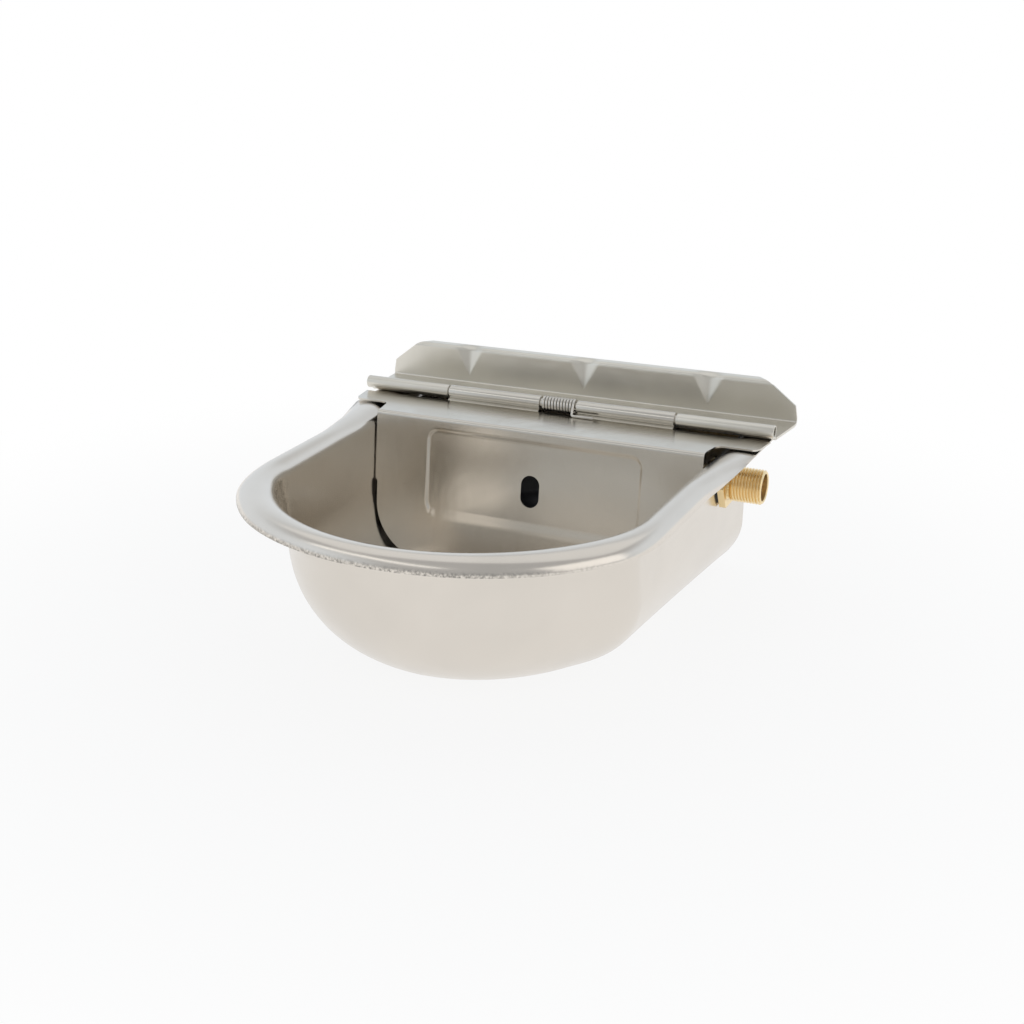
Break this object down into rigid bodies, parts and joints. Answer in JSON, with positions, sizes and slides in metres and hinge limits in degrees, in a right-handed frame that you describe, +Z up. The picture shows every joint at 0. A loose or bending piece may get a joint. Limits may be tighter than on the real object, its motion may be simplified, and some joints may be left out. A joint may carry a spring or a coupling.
{
  "type": "livestock drinking bowl",
  "caption": "Wall-mounted stainless drinking bowl for livestock with a sprung hinged cover and baffle over a float valve with a threaded side inlet.",
  "frame": {"origin": "middle of the footprint, on the surface that the bowl's bottom stands on", "axes": "+Z up, +Y towards the wall that the bowl hangs on, X along the hinge with the inlet on the +X side"},
  "size_m": [0.279, 0.2991, 0.1236],
  "materials": {
    "sheet": "drawn stainless sheet with a fine satin grain",
    "rod": "turned stainless rod",
    "spring": "bright spring wire",
    "brass": "machined brass",
    "rubber": "moulded black rubber",
    "nozzle": "white moulded plastic",
    "piston": "blue-grey moulded plastic",
    "float": "white moulded plastic"
  },
  "bodies": {
    "bowl_body": {"bowl": "sheet", "rear_bracket": "sheet", "hinge_pin": "rod", "valve_body": "brass", "lock_nut": "brass", "outer_washer": "rubber", "inner_gasket": "rubber", "nozzle_seat": "nozzle", "pivot_pin": "rod", "pivot_clip": "rod"},
    "cover_body": {"cover": "sheet", "lid_spring": "spring"},
    "piston_body": {"valve_piston": "piston", "seal_washer": "rubber"},
    "arm_body": {"valve_lever": "brass", "arm_rod": "rod", "rod_lock_nut": "rod", "float": "float", "float_washers": "rod", "float_nuts": "rod"}
  },
  "joints": [
    {"name": "lid_hinge", "type": "hinge", "parent": "bowl_body", "child": "cover_body", "pos_m": [0, 0.1005, 0.1045], "axis": [-1, 0, 0], "range_deg": [0, 110], "stiffness_Nm_per_rad": 0.05, "springref_deg": -45.84, "deforming": ["lid_spring"]},
    {"name": "float_pivot", "type": "hinge", "parent": "bowl_body", "child": "arm_body", "pos_m": [0.06749, 0.0921, 0.0624], "axis": [0, 1, 0], "range_deg": [0, 25]},
    {"name": "piston_slide", "type": "slide", "parent": "bowl_body", "child": "piston_body", "axis": [1, 0, 0], "range_m": [0, 0.00433]}
  ],
  "couplings": [
    {"joint": "piston_slide", "follows": "float_pivot", "m_per_rad": 0.009921}
  ]
}
